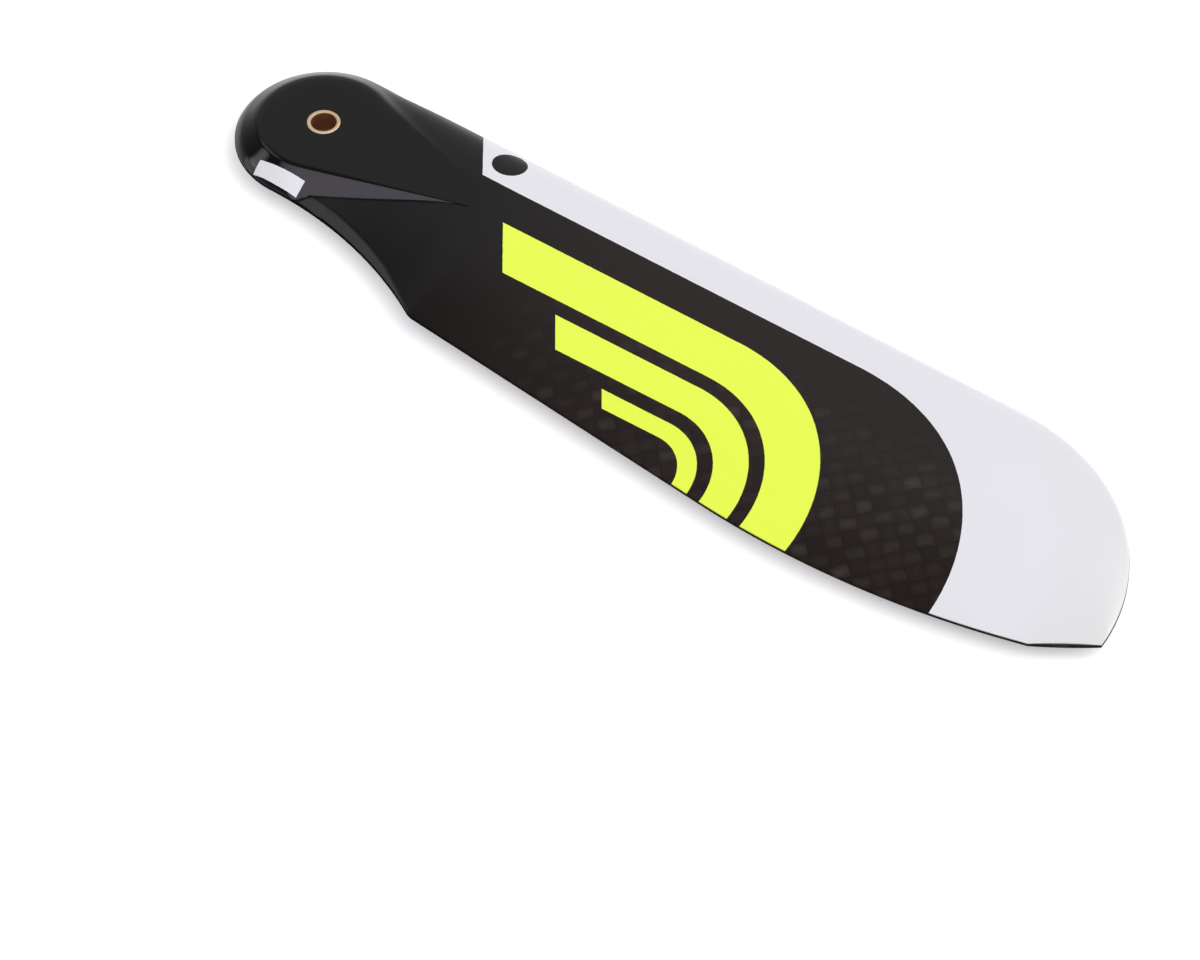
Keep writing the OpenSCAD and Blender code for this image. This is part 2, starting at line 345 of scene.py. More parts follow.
def run_tree(name, tree, values, material):
    """A new object that holds the tree's mesh as its own, with the modifier gone."""
    piece = bpy.data.objects.new(name, bpy.data.meshes.new(name))
    bpy.context.scene.collection.objects.link(piece)
    modifier = piece.modifiers.new(tree.name, "NODES")
    modifier.node_group = tree
    for item in tree.interface.items_tree:
        if item.in_out == "INPUT":
            modifier[item.identifier] = values[item.name]
    depsgraph = bpy.context.evaluated_depsgraph_get()
    mesh = bpy.data.meshes.new_from_object(piece.evaluated_get(depsgraph))
    if not mesh.polygons:
        raise RuntimeError(f"{name}: the tree made no faces")
    mesh.name = name
    mesh.materials.clear()
    mesh.materials.append(material)
    mesh.polygons.foreach_set("material_index", [0] * len(mesh.polygons))
    piece.modifiers.remove(modifier)
    piece.data = mesh
    return piece


def named_values(settings):
    """The values of a property group, by the names shown in the panel."""
    return {prop.name: getattr(settings, prop.identifier)
            for prop in settings.bl_rna.properties if prop.type == "FLOAT"}


# Steps of the blade's net: along the span, round the tip, along the tip cut and round the root
SPAN_STEPS = 300
TURN_STEPS = 44
CUT_STEPS = 24
ROOT_STEPS = 112
RUN_STEPS = SPAN_STEPS + TURN_STEPS + CUT_STEPS
# Steps across one half of a section: foot, skin, side of the plateau, and on to the spine
FOOT_STEPS = 8
SKIN_STEPS = 14
SIDE_STEPS = 8
FLAT_STEPS = 4
HALF_STEPS = FOOT_STEPS + SKIN_STEPS + SIDE_STEPS + FLAT_STEPS
ROWS = 2 * HALF_STEPS + 2
COLUMNS = 2 * RUN_STEPS + ROOT_STEPS + 1
# How those steps gather: at the foot ahead and behind, along the skin, the side and the flat
FOOT_POWERS = (1.7, 1.4)
SKIN_GATHER = 0.55
SIDE_GATHER = 0.6
FLAT_POWER = 1.6
# Limits of the parts of a half section, as shares of its reach, of the flat or of the plateau
PLAIN_FOOT = 0.05
REAR_FOOT_FROM = 0.6
FLAT_MOST = 0.92
VALLEY_LEAST = 0.03
VALLEY_MOST = 0.97
PANEL_VALLEY = 0.8
PANEL_EARLY = 0.2
VALLEY_PASSES = 4
CREASE_GUESS = 0.4
# Forms of the skin: curve of the rim, hollow of the tail, rounding on the leading side, sharpness
# of the plateau's point, how the rim lets go of the skin, and how far the skin sinks at the root
RIM_POWER = 0.85
TAIL_HOLLOW = 0.45
FAR_FROM = 0.75
FAR_OVER = 0.6
FAR_LIFT = 1 / 3
POINT_SHARPER = 0.4
RIM_REACH = 3.2
RIM_FADE = 3
ROOT_SINK = 1.2
# Guard at the ends of the round root, steps round the bushing, weld of the seam and sharp edges
ROUND_MARGIN = 0.0001
ROUND_STEPS = 96
SEAM_MERGE = mm(0.001)
SHARP_ANGLE = math.radians(38)


def outline_rule(size, x):
    """Where the leading and the trailing edge lie at station x."""
    neck_cy = -size.root_r - size.neck_r
    corner_y = neck_cy + (size.neck_r * size.neck_r - size.neck_x * size.neck_x).sqrt()
    run, rise = size.te_widen.cos(), size.te_widen.sin()
    knee_y = corner_y - (size.knee_x - size.neck_x) * size.te_widen.tan()
    knee_t = size.knee_r * ((size.te_widen + size.te_close) / 2).tan()
    knee_in = size.knee_x - knee_t * run
    knee_out = size.knee_x + knee_t * size.te_close.cos()
    knee_cx = knee_in + size.knee_r * rise
    knee_cy = knee_y + knee_t * rise + size.knee_r * run

    def panel_y(at):
        before = knee_y + (size.knee_x - at) * size.te_widen.tan()
        beyond = knee_y + (at - size.knee_x) * size.te_close.tan()
        bend = knee_cy - (size.knee_r * size.knee_r - (at - knee_cx) ** 2).sqrt()
        return pick(at < knee_in, before, pick(at > knee_out, beyond, bend))

    reach_r = size.neck_r + size.corner_r
    qx = size.neck_x + size.corner_r * rise
    qy = corner_y + size.corner_r * run - neck_cy
    along = qx * run - qy * rise
    shift = (along * along + reach_r * reach_r - qx * qx - qy * qy).sqrt() - along
    corner_cx = qx + shift * run
    corner_cy = neck_cy + qy - shift * rise
    corner_in = corner_cx * size.neck_r / reach_r
    corner_out = corner_cx - size.corner_r * rise
    neck = neck_cy + (size.neck_r * size.neck_r - x * x).sqrt()
    corner = corner_cy - (size.corner_r * size.corner_r - (x - corner_cx) ** 2).sqrt()
    rear = pick(x < corner_in, neck, pick(x < corner_out, corner, panel_y(x)))
    turn_x = size.blade_len - size.tip_r
    turn_y = size.root_r - size.tip_r
    cut_x = turn_x + size.tip_r * size.tip_turn.sin() - size.tip_cut
    tip_y = turn_y + size.tip_r * size.tip_turn.cos()
    cut_at = (x - cut_x) / size.tip_cut
    cut_y = panel_y(cut_x)
    line = Named()
    line.te = pick(x > cut_x, cut_y + (tip_y - cut_y) * cut_at, rear)
    turned = turn_y + (size.tip_r * size.tip_r - (x - turn_x) ** 2).sqrt()
    line.le = pick(x > turn_x, turned, size.root_r)
    line.chord = line.le - line.te
    line.full_chord = size.root_r - panel_y(turn_x)
    line.crest_y = line.le - size.crest * line.chord
    half_chord = size.crest * (size.root_r - corner_y)
    line.spine_y = pick(
        x < size.neck_x, (size.root_r - half_chord) * x / size.neck_x, line.crest_y)
    line.lens = (cut_at.unit() - cut_at.unit() ** 2) * 4
    return line


def station_rule(size, column):
    """Station x of a column, and how far it has gone round the root's end."""
    turn_x = size.blade_len - size.tip_r
    cut_turn = (size.tip_turn.sin() - size.tip_cut / size.tip_r).asin()
    step = (RUN_STEPS - column).above(column - (RUN_STEPS + ROOT_STEPS)).above(0.0)
    turned = ((step - SPAN_STEPS) / TURN_STEPS).unit()
    cut = ((step - (SPAN_STEPS + TURN_STEPS)) / CUT_STEPS).unit()
    turn = cut_turn * turned + (size.tip_turn - cut_turn) * cut
    x = turn_x * (step / SPAN_STEPS).below(1.0) + size.tip_r * turn.sin()
    round_end = ((column - RUN_STEPS) / ROOT_STEPS).unit()
    return x, round_end


def skin_tree(material):
    """The whole blade as one net: stations round its outline, rows from spine to spine."""
    tree = new_geometry("Blade skin")
    size = size_inputs(tree, BladeSizes)
    half_t, land, rim_z = size.blade_t / 2, size.edge_t / 2, size.rim_t / 2
    plateau_r = size.root_r - size.bevel_w
    lift = (half_t - rim_z) / (size.bevel_w - size.rim_w)
    side_sin, side_cos = size.plateau_angle.sin(), size.plateau_angle.cos()

    index = Rule(tree, add(tree, "GeometryNodeInputIndex").outputs[0])
    column = ((index + 0.5) / ROWS).floor()
    row = index - column * ROWS
    x, round_end = station_rule(size, column)
    line = outline_rule(size, x)
    ahead = column < RUN_STEPS + ROOT_STEPS / 2
    side = ahead * 2 - 1
    edge_y = pick(ahead, line.le, line.te)
    reach = (edge_y - line.spine_y).abs()

    crest_z = land + (half_t - land) * (line.chord / line.full_chord).below(1.0)
    crest_z = pick(x > size.blade_len - size.tip_r, crest_z, half_t)
    thin = ((size.neck_x - x) / (size.neck_x - size.neck_thin_x)).unit()
    cut_lens = (size.cut_t / 2 - land) * line.lens
    rear_z = land + (size.neck_edge_t / 2 - land) * thin + cut_lens

    swell = ((x - size.swell_x) / (size.full_x - size.swell_x)).unit()

    def wing_z(y):
        nose = 1 - (1 - ((line.le - y) / (size.crest * line.chord)).unit()) ** 2
        back = ((line.crest_y - y) / ((1 - size.crest) * line.chord)).unit()
        hollowed = back * back * (1 + TAIL_HOLLOW - TAIL_HOLLOW * back)
        tail = 1 - back - (hollowed - back) * swell
        front = land + (crest_z - land) * nose.sqrt()
        return pick(y > line.crest_y, front, rear_z + (crest_z - rear_z) * tail)

    disc_y = (plateau_r * plateau_r - x * x).sqrt()
    cone_y = (plateau_r - x * side_sin) / side_cos
    plateau_y = pick(x < plateau_r * side_sin, disc_y, cone_y)
    lean = pick(x < size.neck_x, (1 - (x / size.neck_r) ** 2).sqrt(), 1.0)
    lean = pick(ahead, 1.0, lean)

    # Where a half section changes its form, as distances from the edge
    plain_foot = size.rim_w.below(PLAIN_FOOT * reach)
    crease = CREASE_GUESS * size.neck_rim_w
    for _ in range(VALLEY_PASSES):
        risen = (wing_z(line.te + crease / lean) - land) / (rim_z - land)
        crease = size.neck_rim_w * risen ** (1 / RIM_POWER)
    rear_foot = pick(x < REAR_FOOT_FROM * plateau_r, size.rim_w, crease / lean)
    nose_foot = size.rim_w + (plain_foot - size.rim_w) * ((x - plateau_r) / plateau_r).ease()
    foot = pick(ahead, nose_foot, pick(x < size.neck_x, rear_foot, plain_foot))
    flat = (side * edge_y - plateau_y).below(FLAT_MOST * reach)
    valley_y = plateau_y
    for _ in range(VALLEY_PASSES):
        drop = (half_t - wing_z(side * valley_y)) / lift
        valley_y = (plateau_r + drop - x * side_sin) / side_cos
    valley = (side * edge_y - valley_y).below(VALLEY_MOST * flat)
    valley = valley.above(foot + VALLEY_LEAST * (flat - foot))
    past_neck = ((x - size.neck_x) / size.neck_x + PANEL_EARLY).ease()
    valley = valley + (PANEL_VALLEY * reach - valley) * past_neck

    step = (row - (HALF_STEPS + 0.5)).abs() - 0.5
    foot_at = (step / FOOT_STEPS).unit() ** pick(ahead, *FOOT_POWERS)
    skin_at = gathered(((step - FOOT_STEPS) / SKIN_STEPS).unit(), SKIN_GATHER)
    side_at = gathered(((step - (FOOT_STEPS + SKIN_STEPS)) / SIDE_STEPS).unit(), SIDE_GATHER)
    flat_at = ((step - (HALF_STEPS - FLAT_STEPS)) / FLAT_STEPS).unit() ** FLAT_POWER
    inset = foot * foot_at + (valley - foot) * skin_at
    inset = inset + (flat - valley) * side_at + (reach - flat) * flat_at
    y = edge_y - side * inset

    # Round the root's end the rows run to the bolt axis
    turn = (0.5 + round_end) * math.pi
    in_round = (round_end > ROUND_MARGIN) * (round_end < 1 - ROUND_MARGIN)
    ray = size.root_r - inset

    # Height of the skin: the aerofoil and the root's plateau, trimmed by rim and bevel
    depth = inset * lean
    rim = land + (rim_z - land) * (depth / size.rim_w) ** RIM_POWER
    bevel = rim_z + (depth - size.rim_w) * lift
    far = ((pick(in_round, ray * turn.sin(), y) / plateau_r + FAR_FROM) / FAR_OVER).ease()
    far = far * ahead.above((1 - 2 * x / plateau_r).unit())
    edge_z = rim.soft_below(bevel, size.crease_r + (size.far_rim_r - size.crease_r) * far)
    edge_z = edge_z + size.far_rim_r * FAR_LIFT * far * (depth / size.rim_w).unit()
    off_side = x * side_sin + y.abs() * side_cos - plateau_r
    off_disc = hypot(x, y) - plateau_r
    off = pick(x * side_cos > y.abs() * side_sin, off_side, off_disc)
    boss = half_t - lift * off
    crisp = size.crease_r * (1 - POINT_SHARPER * (x / (2 * plateau_r)).ease())
    boss = boss.soft_below(half_t, crisp + (size.far_crease_r - crisp) * far)
    free = half_t * (x / (RIM_REACH * plateau_r)) ** RIM_FADE
    neck_rim = land + cut_lens + (rim_z - land) * (depth / size.neck_rim_w) ** RIM_POWER
    skin = wing_z(y).soft_below(
        pick(ahead, edge_z + free, neck_rim), pick(ahead, size.crease_r, size.neck_crease_r))
    block = boss.soft_below(edge_z, size.crease_r)
    hollow = crisp + (size.hollow_r - crisp) * ahead * (x / plateau_r).ease()
    sunk = skin - ROOT_SINK * size.crease_r * (1 - x / plateau_r).unit()
    top = sunk.soft_above(block, hollow).below(half_t).above(land)
    upper = (row > HALF_STEPS + 0.5) * 2 - 1
    place = add(
        tree, "ShaderNodeCombineXYZ", X=pick(in_round, ray * turn.cos(), x),
        Y=pick(in_round, ray * turn.sin(), y), Z=top * upper)
    net = add(tree, "GeometryNodeMeshGrid", Vertices_X=COLUMNS, Vertices_Y=ROWS)
    shaped = add(
        tree, "GeometryNodeSetPosition", Geometry=net.outputs[0], Position=place.outputs[0])
    closed = add(
        tree, "GeometryNodeMergeByDistance", Geometry=shaped.outputs[0], Distance=SEAM_MERGE)
    drill = add(
        tree, "GeometryNodeMeshCylinder", Vertices=ROUND_STEPS, Radius=size.hole_r,
        Depth=size.blade_t * 2)
    drilled = add(tree, "GeometryNodeMeshBoolean", {"operation": "DIFFERENCE", "solver": "EXACT"})
    tree.links.new(closed.outputs[0], drilled.inputs["Mesh 1"])
    tree.links.new(drill.outputs[0], drilled.inputs["Mesh 2"])
    smooth = add(
        tree, "GeometryNodeSetShadeSmooth", {"domain": "FACE"}, Geometry=drilled.outputs[0],
        Shade_Smooth=True)
    bend = Rule(tree, add(tree, "GeometryNodeInputMeshEdgeAngle").outputs[0])
    sharp = add(
        tree, "GeometryNodeSetShadeSmooth", {"domain": "EDGE"}, Geometry=smooth.outputs[0],
        Selection=bend > SHARP_ANGLE, Shade_Smooth=False)
    close_tree(tree, sharp.outputs[0], material)
    return tree


def new_material(name):
    """A material with its Principled BSDF and no other nodes but the output."""
    material = bpy.data.materials.new(name)
    material.use_nodes = True
    tree = material.node_tree
    return material, tree, tree.nodes["Principled BSDF"]


def axes(tree):
    """The three object coordinates of a shaded point, and the socket that holds them all."""
    place = add(tree, "ShaderNodeTexCoord")
    split = add(tree, "ShaderNodeSeparateXYZ", Vector=place.outputs["Object"])
    return [Rule(tree, socket) for socket in split.outputs], place.outputs["Object"]


def new_group(name, inputs, outputs):
    """A shader group with named inputs and outputs, and the sockets of both inside it."""
    tree = bpy.data.node_groups.new(name, "ShaderNodeTree")
    for label, kind, default in inputs:
        socket = tree.interface.new_socket(label, in_out="INPUT", socket_type="NodeSocket" + kind)
        if default is not None:
            socket.default_value = default
    for label, kind in outputs:
        tree.interface.new_socket(label, in_out="OUTPUT", socket_type="NodeSocket" + kind)
    entry = add(tree, "NodeGroupInput")
    leave = add(tree, "NodeGroupOutput")
    return tree, entry.outputs, leave.inputs


# The weave: pull on its tows, their fibres, their ends, and their painted sheen by luck and in
# patches
WEAVE_TURN = math.radians(45)
DRIFT = mm(0.8)
DRIFT_SCALE = 420.0
PATCH_SCALE = 190.0
FIBRES_ACROSS, FIBRES_ALONG, FIBRES_APART = 14, 0.8, 7
TOW_END, WEFT_ROUND = 0.3, 0.5
WARP_LIGHT, WEFT_LIGHT = (0.3, 0.7), (0.1, 0.3)
GLINT_FROM, GLINT_GAIN, GLINT_SHARE = 0.32, 2.6, 0.65
MOTTLE_FROM, MOTTLE_GAIN, MOTTLE_SHARE = 0.25, 2, 0.5
FIBRE_HEIGHT = 0.12


def weave_group():
    """Plain carbon weave on the bias: its painted sheen, how high a tow stands and its hue."""
    tree, given, made = new_group(
        "Carbon weave",
        [("Vector", "Vector", None), ("Tow width", "Float", mm(2))],
        [("Light", "Float"), ("Height", "Float"), ("Hue", "Float")])
    drift = add(
        tree, "ShaderNodeTexNoise", Vector=given["Vector"], Scale=DRIFT_SCALE, Detail=2.0)
    centred = add(tree, "ShaderNodeVectorMath", {"operation": "SUBTRACT"})
    tree.links.new(drift.outputs["Color"], centred.inputs[0])
    centred.inputs[1].default_value = (0.5, 0.5, 0.5)
    pulled = add(tree, "ShaderNodeVectorMath", {"operation": "MULTIPLY_ADD"})
    tree.links.new(centred.outputs[0], pulled.inputs[0])
    pulled.inputs[1].default_value = (DRIFT, DRIFT, 0)
    tree.links.new(given["Vector"], pulled.inputs[2])
    turned = add(
        tree, "ShaderNodeMapping", Vector=pulled.outputs[0], Rotation=(0, 0, WEAVE_TURN))
    split = add(tree, "ShaderNodeSeparateXYZ", Vector=turned.outputs[0])
    width = Rule(tree, given["Tow width"])
    across = Rule(tree, split.outputs[0]) / width
    along = Rule(tree, split.outputs[1]) / width
    over = ((across.floor() + along.floor()) / 2).fract() > 0.25
    warp_bow = (across.fract() * math.pi).sin()
    weft_bow = (along.fract() * math.pi).sin()
    crown = pick(
        over, warp_bow * weft_bow ** TOW_END, weft_bow ** WEFT_ROUND * warp_bow ** TOW_END)
    cell = add(tree, "ShaderNodeCombineXYZ", X=across.floor(), Y=along.floor())
    chance = add(
        tree, "ShaderNodeTexWhiteNoise", {"noise_dimensions": "2D"}, Vector=cell.outputs[0])
    fibre_at = add(
        tree, "ShaderNodeCombineXYZ", X=pick(over, across * FIBRES_ACROSS, across * FIBRES_ALONG),
        Y=pick(over, along * FIBRES_ALONG, along * FIBRES_ACROSS), Z=over * FIBRES_APART)
    fibre = add(
        tree, "ShaderNodeTexNoise", {"noise_dimensions": "3D"}, Vector=fibre_at.outputs[0],
        Scale=1.0, Detail=3.0, Roughness=0.6)
    streak = Rule(tree, fibre.outputs[0])
    patch = add(
        tree, "ShaderNodeTexNoise", Vector=given["Vector"], Scale=PATCH_SCALE, Detail=1.0)
    luck = Rule(tree, chance.outputs["Value"])
    hue = add(tree, "ShaderNodeSeparateColor", Color=chance.outputs["Color"])
    bright = pick(over, *(least + more * luck ** 2 for least, more in (WARP_LIGHT, WEFT_LIGHT)))
    glint = ((streak - GLINT_FROM) * GLINT_GAIN).unit()
    mottle = ((Rule(tree, patch.outputs[0]) - MOTTLE_FROM) * MOTTLE_GAIN).unit()
    bright = bright * crown * (1 - GLINT_SHARE + GLINT_SHARE * glint)
    plug(tree, made["Light"], bright * (1 - MOTTLE_SHARE + MOTTLE_SHARE * mottle))
    plug(tree, made["Height"], crown + streak * FIBRE_HEIGHT)
    plug(tree, made["Hue"], hue.outputs[1])
    return tree


# Size of a speck of dust: the least, and what luck adds, as shares of its cell
SPECK_LEAST, SPECK_MORE = 0.012, 0.018


def handling_group():
    """Faint marks of moulding and handling: a slow cloud, and a few specks of dust."""
    tree, given, made = new_group(
        "Handling marks",
        [("Vector", "Vector", None), ("Cloud scale", "Float", 60.0),
         ("Speck scale", "Float", 260.0), ("Speck share", "Float", 0.02)],
        [("Cloud", "Float"), ("Speck", "Float")])
    cloud = add(
        tree, "ShaderNodeTexNoise", Vector=given["Vector"], Scale=given["Cloud scale"], Detail=4.0,
        Roughness=0.55)
    cells = add(
        tree, "ShaderNodeTexVoronoi", Vector=given["Vector"], Scale=given["Speck scale"])
    luck = add(tree, "ShaderNodeSeparateColor", Color=cells.outputs["Color"])
    chosen = Rule(tree, luck.outputs[0]) < Rule(tree, given["Speck share"])
    grain = Rule(tree, luck.outputs[1]) * SPECK_MORE + SPECK_LEAST
    near = Rule(tree, cells.outputs["Distance"]) < grain
    plug(tree, made["Cloud"], cloud.outputs[0])
    plug(tree, made["Speck"], chosen * near)
    return tree


def blend_colour(tree, mask, under, over):
    """One colour laid over another where the mask is 1."""
    node = add(tree, "ShaderNodeMix", {"data_type": "RGBA"})
    plug(tree, node.inputs[0], mask)
    for socket, value in ((node.inputs[6], under), (node.inputs[7], over)):
        plug(tree, socket, value if isinstance(value, bpy.types.NodeSocket) else (*value, 1))
    return node.outputs[2]


def shade(plain, factor):
    """A colour made darker or lighter."""
    return [min(1, part * factor) for part in plain]


# The neon bands in mm: distance from the stripe's edge, width, and where each starts on the axis
BANDS = [(5.0, 6.2, 26.0), (13.0, 4.0, 33.5), (18.8, 2.2, 40.0)]
# Softness and raggedness of the paint's borders
PAINT_SOFT = mm(0.03)
PAINT_RAGGED = mm(0.07)
RAGGED_SCALE = 1400.0
# The weave's painted sheen fades out across the blade towards the leading edge
# Where the weave starts to show, along the blade and across it, and where the black turns to carbon
WEAVE_FROM, WEAVE_OVER = mm(30), mm(28)
WEAVE_BEHIND, WEAVE_FADE = mm(1), mm(9)
CARBON_FROM, CARBON_OVER = mm(16), mm(30)
# Light and dark of the paint's slow cloud, its finish, and the bare strip along the seam
CLOUD_DARK, CLOUD_LIGHT = 0.97, 1.02
PAINT_ROUGH, PAINT_ROUGH_MORE = 0.42, 0.12
DUST = (0.55, 0.54, 0.53)
SEAM_BARE, SEAM_FADE = mm(0.17), mm(0.06)


def bare_edge(size, x):
    """How much higher the bare edge stands along the tip cut."""
    tip_x = size.blade_len - size.tip_r + size.tip_r * math.sin(size.tip_turn)
    at = ((x - (tip_x - size.tip_cut)) / size.tip_cut).unit()
    return (at - at * at) * (4 * (size.cut_t - size.edge_t) / 2)


def paint_masks(paint, size, place, x, y, z):
    """Masks of the white paint and the neon bands, with their borders a little soft and ragged."""
    tree = x.tree
    nicks = add(tree, "ShaderNodeTexNoise", Vector=place, Scale=RAGGED_SCALE, Detail=3.0)
    ragged = (Rule(tree, nicks.outputs[0]) - 0.5) * PAINT_RAGGED

    def inside(distance):
        return ((distance + ragged) / PAINT_SOFT + 0.5).unit()

    centre_y = paint.edge_y - paint.round_r
    straight = paint.edge_y + (x - paint.round_x) * paint.edge_slope - y
    rounded = paint.round_r - hypot(x - paint.round_x, y - centre_y)
    field = pick(x > paint.round_x, rounded, straight)
    slant = x + y * paint.lean
    upper = ((z - bare_edge(size, x) - paint.paint_z) / PAINT_SOFT + 0.5).unit()
    dot = inside(paint.dot_r - hypot(x - paint.dot_x, y - paint.dot_y))
    white = inside(-field) * inside(slant - paint.stripe_from) * upper * (1 - dot)
    band_y = centre_y + (paint.band_x - paint.round_x) * paint.edge_slope
    bend = paint.round_r - hypot(x - paint.band_x, y - band_y)
    track = pick(x > paint.band_x, bend, straight)
    neon = 0
    for offset, width, start in BANDS:
        band = inside(track - mm(offset)) * inside(mm(offset + width) - track)
        neon = neon + band * inside(slant - mm(start))
    return white, neon * upper


def rim_shade_amount(paint, size, x, y):
    """How far the white paint is darkened towards the tip's rim: painted shade against the light
    that the turned rim catches.
    """
    centre_x, centre_y = size.blade_len - size.tip_r, size.root_r - size.tip_r
    inset = size.tip_r - hypot(x - centre_x, y - centre_y)
    return (1 - inset / paint.rim_shade_width).unit() * ((x - centre_x) / size.tip_r).unit()


def painted_carbon(paint, size, weave, marks):
    """Carbon weave under black, white and neon paint and a clear coat."""
    material, tree, shader = new_material("Painted carbon")
    (x, y, z), place = axes(tree)
    white, neon = paint_masks(paint, size, place, x, y, z)
    tows = add(tree, "ShaderNodeGroup", {"node_tree": weave}, Vector=place, Tow_width=paint.tow_w)
    spots = add(tree, "ShaderNodeGroup", {"node_tree": marks}, Vector=place)
    shows = ((x - WEAVE_FROM) / WEAVE_OVER).ease() * ((WEAVE_BEHIND - y) / WEAVE_FADE).ease()
    # The tows' brightness is painted sheen laid into the colour
    bright = Rule(tree, tows.outputs["Light"]) * shows
    dark = blend_colour(
        tree, ((x - CARBON_FROM) / CARBON_OVER).ease(), paint.black, paint.carbon)
    lit = blend_colour(tree, tows.outputs["Hue"], paint.tow, paint.olive)
    carbon = blend_colour(tree, bright, dark, lit)
    cloud = Rule(tree, spots.outputs["Cloud"])
    chalk = blend_colour(
        tree, cloud, shade(paint.white, CLOUD_DARK), shade(paint.white, CLOUD_LIGHT))
    # Painted shade: the white darkens towards the tip's rim
    chalk = blend_colour(tree, rim_shade_amount(paint, size, x, y), chalk, paint.rim_shade_white)
    glow = blend_colour(tree, cloud, shade(paint.neon, CLOUD_DARK), paint.neon)
    base = blend_colour(tree, white, carbon, chalk)
    base = blend_colour(tree, neon, base, glow)
    base = blend_colour(tree, Rule(tree, spots.outputs["Speck"]), base, DUST)
    bare = 1 - (white + neon).unit()
    bump = add(
        tree, "ShaderNodeBump", Strength=0.5, Distance=mm(0.12),
        Height=Rule(tree, tows.outputs["Height"]) * bare * shows)
    plug(tree, shader.inputs["Base Color"], base)
    plug(tree, shader.inputs["Roughness"], PAINT_ROUGH + cloud * PAINT_ROUGH_MORE)
    plug(tree, shader.inputs["Normal"], bump.outputs[0])
    shader.inputs["Specular IOR Level"].default_value = 0.0
    plug(tree, shader.inputs["Coat Weight"], ((z.abs() - SEAM_BARE) / SEAM_FADE).unit())
    shader.inputs["Coat Roughness"].default_value = 0.035
    shader.inputs["Coat IOR"].default_value = 1.46
    return material


# The brass: turning lines, its dull patches, its finish, and where the painted shade of the bore
# starts
LINES_SCALE = 9000
BRASS_CLOUD_SCALE = 900.0
BRASS_DULL = 0.8
BRASS_ROUGH, BRASS_ROUGH_MORE = 0.44, 0.16
BORE_SHADE_EDGE, BORE_SHADE_FADE = mm(0.1), mm(0.08)


def turned_brass(fitting, marks):
    """Bright brass with fine turning lines round the bolt axis."""
    material, tree, shader = new_material("Turned brass")
    (x, y, z), place = axes(tree)
    ray = hypot(x, y)
    lines_at = add(tree, "ShaderNodeCombineXYZ", X=ray * LINES_SCALE, Y=z * LINES_SCALE)
    lines = add(
        tree, "ShaderNodeTexNoise", {"noise_dimensions": "2D"}, Vector=lines_at.outputs[0],
        Scale=1.0)
    spots = add(
        tree, "ShaderNodeGroup", {"node_tree": marks}, Vector=place,
        Cloud_scale=BRASS_CLOUD_SCALE, Speck_share=0.0)
    cloud = Rule(tree, spots.outputs["Cloud"])
    bright = blend_colour(tree, cloud, shade(fitting.brass, BRASS_DULL), fitting.brass)
    # Painted shade: the bore takes a darker colour for the shade inside the hole
    bore = ((fitting.bore_r + BORE_SHADE_EDGE - ray) / BORE_SHADE_FADE).unit()
    plug(tree, shader.inputs["Base Color"], blend_colour(tree, bore, bright, fitting.bore_shade))
    plug(tree, shader.inputs["Roughness"],
         BRASS_ROUGH + BRASS_ROUGH_MORE * Rule(tree, lines.outputs[0]))
    shader.inputs["Metallic"].default_value = 1.0
    bump = add(tree, "ShaderNodeBump", Strength=0.25, Distance=mm(0.01), Height=lines.outputs[0])
    plug(tree, shader.inputs["Normal"], bump.outputs[0])
    return material


# The label's paper: scale of its fibres, their shade and its finish
PAPER_SCALE = 2400.0
PAPER_DARK = 0.88
PAPER_ROUGH, PAPER_ROUGH_MORE = 0.45, 0.2


def label_paper(fitting, marks):
    """Thin white label stock with its fibres."""
    material, tree, shader = new_material("Label paper")
    _, place = axes(tree)
    spots = add(
        tree, "ShaderNodeGroup", {"node_tree": marks}, Vector=place, Cloud_scale=PAPER_SCALE,
        Speck_share=0.0)
    cloud = Rule(tree, spots.outputs["Cloud"])
    plug(tree, shader.inputs["Base Color"],
         blend_colour(tree, cloud, shade(fitting.paper, PAPER_DARK), fitting.paper))
    plug(tree, shader.inputs["Roughness"], PAPER_ROUGH + PAPER_ROUGH_MORE * cloud)
    bump = add(tree, "ShaderNodeBump", Strength=0.3, Distance=mm(0.02), Height=cloud)
    plug(tree, shader.inputs["Normal"], bump.outputs[0])
    return material


def sleeve_tree(material):
    """The bushing: a wall with rounded edges, carried round the bolt axis."""
    tree = new_geometry("Bushing sleeve")
    size = size_inputs(tree, FittingSizes)
    for label in ("Outer radius", "Height"):
        tree.interface.new_socket(label, in_out="INPUT", socket_type="NodeSocketFloat")
    entry = add(tree, "NodeGroupInput")
    outer = Rule(tree, entry.outputs["Outer radius"])
    height = Rule(tree, entry.outputs["Height"])
    wall = add(
        tree, "GeometryNodeCurvePrimitiveQuadrilateral", Width=outer - size.bore_r, Height=height)
    round_wall = add(
        tree, "GeometryNodeFilletCurve", {"mode": "POLY"}, Curve=wall.outputs[0], Count=5,
        Radius=size.rim_r)
    ring = add(
        tree, "GeometryNodeCurvePrimitiveCircle", {"mode": "RADIUS"}, Resolution=ROUND_STEPS,
        Radius=(outer + size.bore_r) / 2)
    sleeve = add(
        tree, "GeometryNodeCurveToMesh", Curve=ring.outputs[0], Profile_Curve=round_wall.outputs[0])
    smooth = add(tree, "GeometryNodeSetShadeSmooth", Geometry=sleeve.outputs[0], Shade_Smooth=True)
    close_tree(tree, smooth.outputs[0], material)
    return tree


# The label: points of its net, nicks of its long edges, and how it is dropped on the skin
LABEL_STEPS = (96, 36)
NICK_SCALE, NICK_START, NICK_DEPTH = 2600, 3.7, 0.08
DROP_FROM, DROP_LENGTH = mm(8), mm(20)
GLUE_T = mm(0.012)


